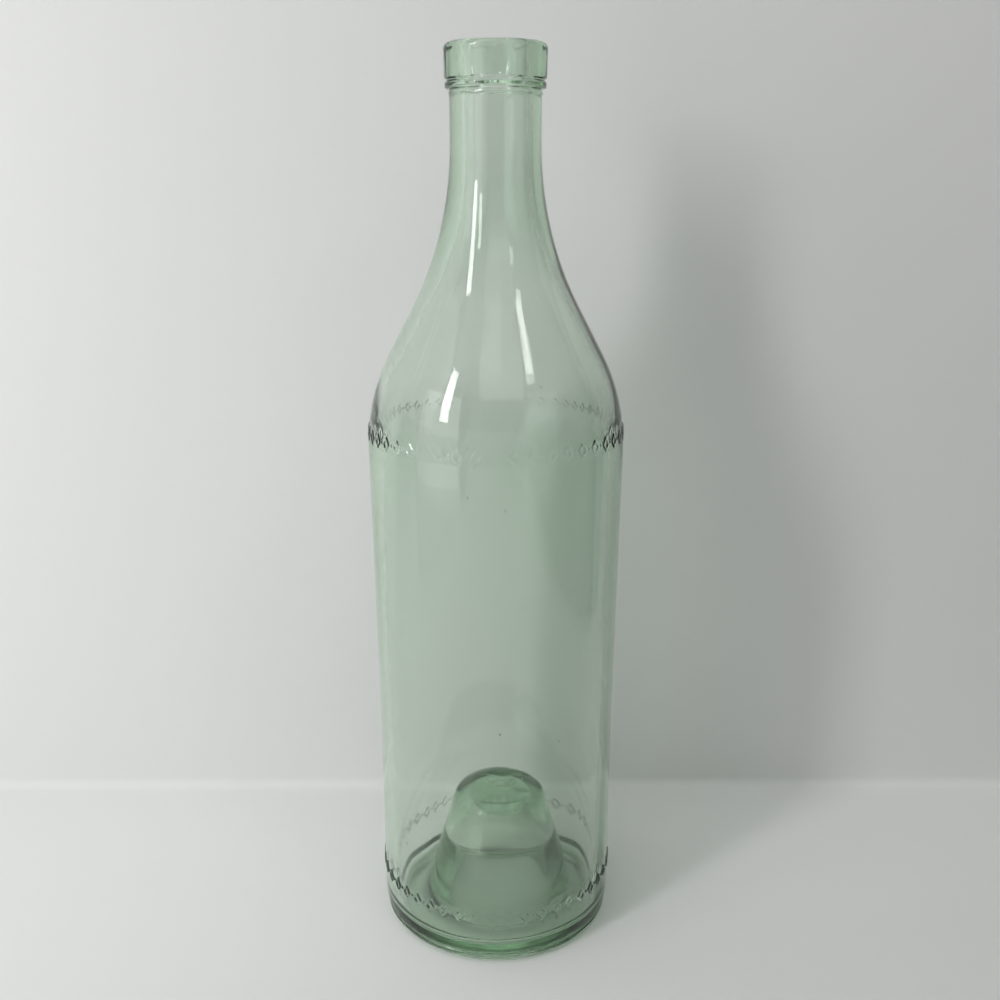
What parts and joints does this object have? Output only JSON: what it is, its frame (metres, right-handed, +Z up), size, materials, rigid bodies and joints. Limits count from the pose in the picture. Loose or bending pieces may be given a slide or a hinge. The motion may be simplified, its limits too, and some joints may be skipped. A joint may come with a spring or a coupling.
{
  "type": "cognac bottle",
  "caption": "Round pale-green spirits bottle with a long sloping shoulder, a short neck with a bead and a tall collar, and a deep push-up in its foot.",
  "frame": {"origin": "centre of the foot's resting plane", "axes": "+Z up the bottle's axis, out of the mouth; X and Y are equal by symmetry"},
  "size_m": [0.0816, 0.0816, 0.287],
  "materials": {
    "glass": "clear pale grey-green glass, glossy, with small seeds and faint waves"
  },
  "bodies": {
    "root": {"bottle": "glass"}
  },
  "joints": []
}
